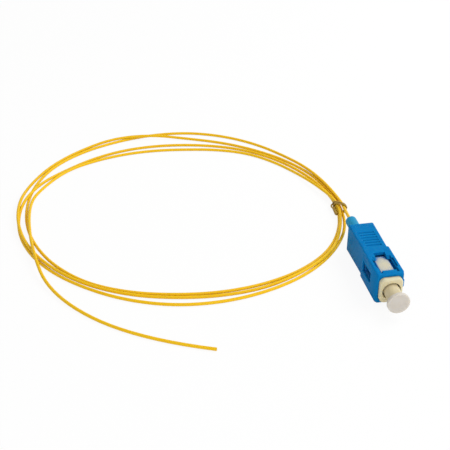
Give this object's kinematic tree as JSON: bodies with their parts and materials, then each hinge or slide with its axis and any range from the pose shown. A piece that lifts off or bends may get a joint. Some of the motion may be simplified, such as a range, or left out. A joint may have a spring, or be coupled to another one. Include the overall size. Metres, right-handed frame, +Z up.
{
  "type": "fibre optic pigtail",
  "caption": "Push-pull fibre plug with a sprung ferrule, a pull-off dust cap and a boot, on buffered fibre wound in a loose tied coil with a bare cut end.",
  "frame": {"origin": "on the housing's underside, straight below the plug's axis, in the middle of the flat ledge between the shoulder and the lower latch window", "axes": "+X along the plug's axis out of its front, +Y to the side with the key, +Z up from the surface the pigtail lies on"},
  "size_m": [0.12, 0.0996, 0.009],
  "materials": {
    "housing_blue": "smooth moulded",
    "frame_ivory": "smooth moulded",
    "cap_milky": "soft, slightly see-through",
    "boot_blue": "soft satin",
    "ferrule_white": "polished zirconia",
    "plated_metal": "nickel plated",
    "spring_steel": "drawn wire",
    "tube_clear": "extruded",
    "fibre_yellow": "extruded, satin",
    "fibre_glass": "clear",
    "tie_olive": "coated wire"
  },
  "bodies": {
    "plug": {"plug_frame": "frame_ivory", "stop_ring": "plated_metal", "boot": "boot_blue", "ferrule_spring": "spring_steel", "fibre_lead": "fibre_yellow", "fibre_coil": "fibre_yellow", "fibre_tail": "fibre_yellow", "wire_tie": "tie_olive"},
    "housing": {"outer_housing": "housing_blue"},
    "ferrule_unit": {"ferrule": "ferrule_white", "ferrule_flange": "plated_metal", "guide_tube": "tube_clear", "buffer_stub": "fibre_yellow", "bare_fibre": "fibre_glass"},
    "cap": {"dust_cap": "cap_milky"}
  },
  "joints": [
    {"name": "sleeve_slide", "type": "slide", "parent": "plug", "child": "housing", "axis": [1, 0, 0], "range_m": [-0.001, 0.001]},
    {"name": "ferrule_slide", "type": "slide", "parent": "plug", "child": "ferrule_unit", "axis": [1, 0, 0], "range_m": [-0.0012, 0], "stiffness_N_per_m": 3500, "springref_m": 0.0022, "deforming": ["ferrule_spring"]},
    {"name": "cap_pull", "type": "slide", "parent": "ferrule_unit", "child": "cap", "axis": [1, 0, 0], "range_m": [0, 0.008]}
  ]
}
